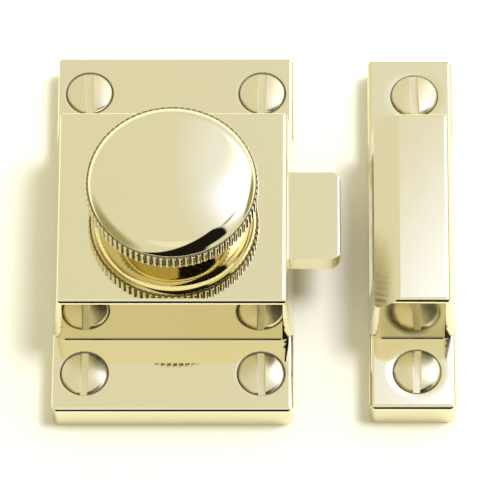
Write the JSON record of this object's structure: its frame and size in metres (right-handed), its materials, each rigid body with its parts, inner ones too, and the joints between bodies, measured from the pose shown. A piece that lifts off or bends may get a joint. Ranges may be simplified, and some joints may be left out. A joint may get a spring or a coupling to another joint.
{
  "type": "cupboard knob catch",
  "caption": "Polished brass cupboard catch: a milled round knob on a raised case draws back a sprung sliding bolt, with a matching hollow ramped keeper.",
  "frame": {"origin": "centre of the case's four fixing screws, on the mounting plane at the back of both castings", "axes": "+Z out of the mounting plane along the knob's axis, +Y up the plate, +X from the case to the keeper"},
  "size_m": [0.0744, 0.074, 0.0449],
  "materials": {
    "polished_brass": "mirror polished, no lacquer",
    "screw_brass": "turned and polished, fine turning rings",
    "turned_brass": "as turned or sheared, satin",
    "bright_steel": "bright drawn or turned"
  },
  "bodies": {
    "fixed": {"case": "polished_brass", "back_cover": "turned_brass", "cover_screw_1": "turned_brass", "cover_screw_2": "turned_brass", "cover_screw_3": "turned_brass", "cover_screw_4": "turned_brass", "case_screw_top_left": "screw_brass", "case_screw_top_right": "screw_brass", "case_screw_bottom_left": "screw_brass", "case_screw_bottom_right": "screw_brass", "front_bush": "turned_brass", "bolt_spring": "bright_steel", "keeper": "polished_brass", "keeper_screw_top": "screw_brass", "keeper_screw_bottom": "screw_brass"},
    "turning": {"knob": "polished_brass", "spindle": "turned_brass", "tappet": "turned_brass", "tappet_washer": "bright_steel", "tappet_screw": "bright_steel"},
    "sliding": {"bolt": "polished_brass", "bolt_peg": "bright_steel", "spring_guide": "bright_steel"}
  },
  "joints": [
    {"name": "knob_turn", "type": "hinge", "parent": "fixed", "child": "turning", "pos_m": [0, -0.0015, 0], "axis": [0, 0, -1], "range_deg": [0, 75], "stiffness_Nm_per_rad": 0.0112, "springref_deg": -37.24},
    {"name": "bolt_slide", "type": "slide", "parent": "fixed", "child": "sliding", "axis": [-1, 0, 0], "range_m": [0, 0.008], "deforming": ["bolt_spring"]}
  ],
  "couplings": [
    {"joint": "bolt_slide", "follows": "knob_turn", "m_per_rad": 0.0061115}
  ]
}
